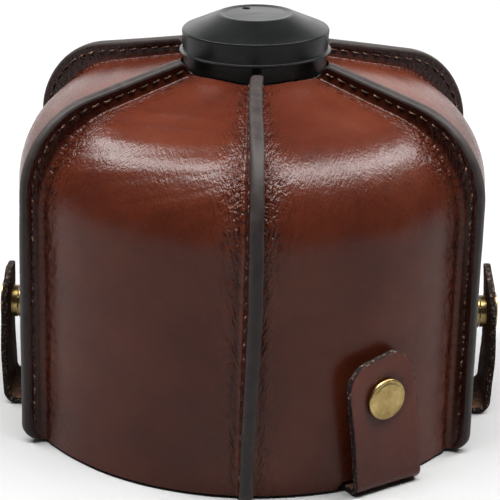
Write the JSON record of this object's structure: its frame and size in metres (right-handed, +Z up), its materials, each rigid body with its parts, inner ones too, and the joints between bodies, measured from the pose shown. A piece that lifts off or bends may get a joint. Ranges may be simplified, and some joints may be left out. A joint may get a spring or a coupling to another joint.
{
  "type": "gas cartridge with leather cover",
  "caption": "Screw-valve camping gas cartridge in a fitted leather cover with stood-up seams and snap straps under its base.",
  "frame": {"origin": "centre of the underside, where the crossed straps meet the ground, on the can's axis", "axes": "+Z up along the can's axis to the valve, -Y towards the front seam, +X to the right seen from the front"},
  "size_m": [0.1244, 0.124, 0.1002],
  "materials": {
    "can_steel": "satin",
    "valve_steel": "satin",
    "spring_steel": "satin",
    "valve_brass": "satin",
    "housing_plastic": "matte",
    "gasket_rubber": "matte",
    "cap_plastic": "satin",
    "panel_leather": "waxed, glossy",
    "seam_thread": "waxed",
    "strap_leather": "waxed, glossy",
    "snap_brass": "antiqued"
  },
  "bodies": {
    "cartridge_and_cover": {"can_shell": "can_steel", "can_base": "can_steel", "valve_cup": "can_steel", "cup_gasket": "gasket_rubber", "valve_boss": "valve_steel", "valve_housing": "housing_plastic", "stem_gasket": "gasket_rubber", "valve_spring": "spring_steel", "gore_front_right": "panel_leather", "gore_right": "panel_leather", "gore_back_right": "panel_leather", "gore_back_left": "panel_leather", "gore_left": "panel_leather", "gore_front_left": "panel_leather", "thread_front": "seam_thread", "thread_front_right": "seam_thread", "thread_back_right": "seam_thread", "thread_back": "seam_thread", "thread_back_left": "seam_thread", "thread_front_left": "seam_thread", "strap_a_base": "strap_leather", "strap_b_base": "strap_leather", "snap_stud_front_right": "snap_brass", "snap_post_front_right": "snap_brass", "snap_stud_right": "snap_brass", "snap_post_right": "snap_brass", "snap_stud_back_left": "snap_brass", "snap_post_back_left": "snap_brass", "snap_stud_left": "snap_brass", "snap_post_left": "snap_brass"},
    "cap": {"valve_cap": "cap_plastic"},
    "stem": {"valve_stem": "valve_brass"},
    "tab_front_right_body": {"tab_front_right": "strap_leather", "snap_cap_front_right": "snap_brass", "snap_socket_front_right": "snap_brass"},
    "tab_right_body": {"tab_right": "strap_leather", "snap_cap_right": "snap_brass", "snap_socket_right": "snap_brass"},
    "tab_back_left_body": {"tab_back_left": "strap_leather", "snap_cap_back_left": "snap_brass", "snap_socket_back_left": "snap_brass"},
    "tab_left_body": {"tab_left": "strap_leather", "snap_cap_left": "snap_brass", "snap_socket_left": "snap_brass"}
  },
  "joints": [
    {"name": "cap_lift", "type": "slide", "parent": "cartridge_and_cover", "child": "cap", "axis": [0, 0, 1], "range_m": [0, 0.03]},
    {"name": "stem_press", "type": "slide", "parent": "cartridge_and_cover", "child": "stem", "axis": [0, 0, -1], "range_m": [0, 0.0015], "stiffness_N_per_m": 800, "springref_m": -0.002, "deforming": ["valve_spring"]},
    {"name": "tab_front_right_open", "type": "hinge", "parent": "cartridge_and_cover", "child": "tab_front_right_body", "pos_m": [0.03323, -0.0502, 0.0008], "axis": [0.8339, 0.5519, 0], "range_deg": [0, 90]},
    {"name": "tab_right_open", "type": "hinge", "parent": "cartridge_and_cover", "child": "tab_right_body", "pos_m": [0.0602, 0, 0.0008], "axis": [0, 1, 0], "range_deg": [0, 90]},
    {"name": "tab_back_left_open", "type": "hinge", "parent": "cartridge_and_cover", "child": "tab_back_left_body", "pos_m": [-0.03323, 0.0502, 0.0008], "axis": [-0.8339, -0.5519, 0], "range_deg": [0, 90]},
    {"name": "tab_left_open", "type": "hinge", "parent": "cartridge_and_cover", "child": "tab_left_body", "pos_m": [-0.0602, 0, 0.0008], "axis": [0, -1, 0], "range_deg": [0, 90]}
  ]
}
